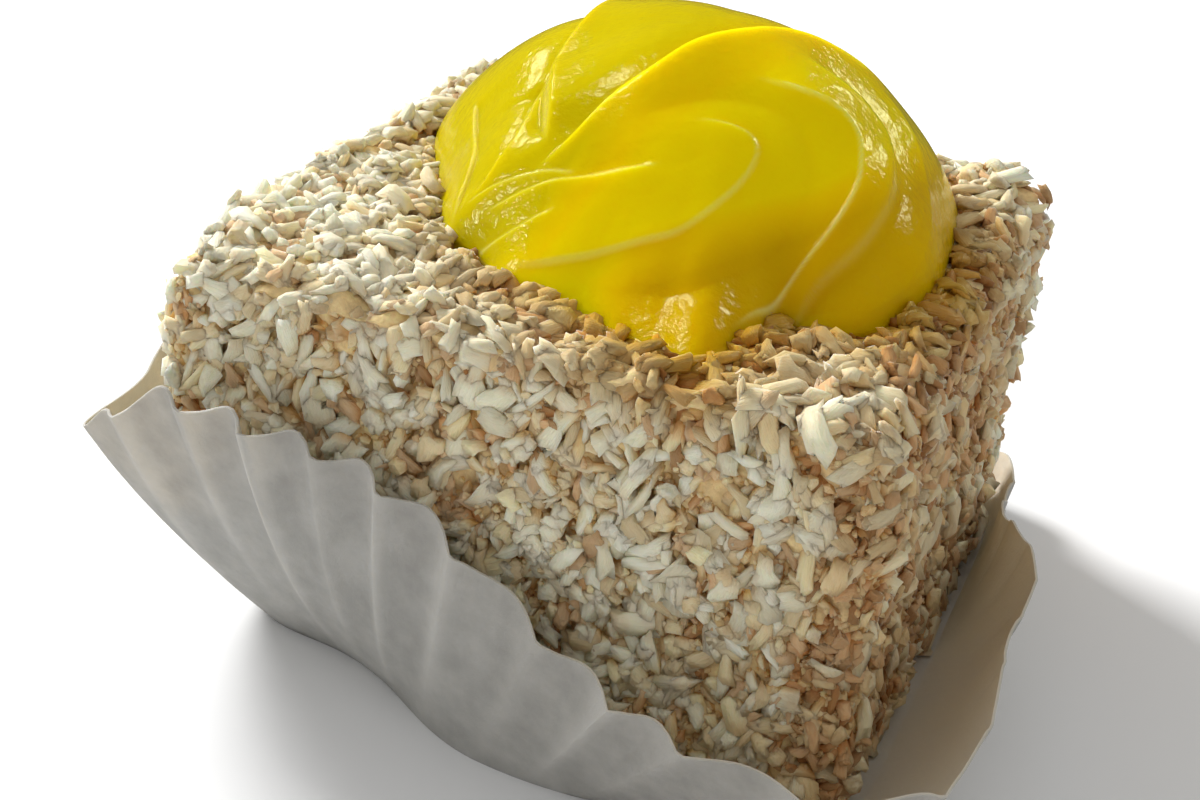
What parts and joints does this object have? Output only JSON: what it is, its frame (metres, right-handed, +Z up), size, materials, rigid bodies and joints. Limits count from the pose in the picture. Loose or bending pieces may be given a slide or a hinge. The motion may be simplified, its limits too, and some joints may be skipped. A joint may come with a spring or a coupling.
{
  "type": "lemon cake",
  "caption": "Small square cake coated in coconut flakes, topped with a glossy swirl of lemon curd and set in a fluted white paper case.",
  "frame": {"origin": "middle of the object's footprint at the flat underside of the paper case", "axes": "+Z up out of the cake's top; +X along the front face from left to right; -Y out of the front face"},
  "size_m": [0.0879, 0.0863, 0.0565],
  "materials": {
    "coconut_coating": null,
    "lemon_curd": null,
    "case_paper": "matt white greaseproof paper"
  },
  "bodies": {
    "root": {"cake": "coconut_coating", "lemon_topping": "lemon_curd", "paper_case": "case_paper"}
  },
  "joints": []
}
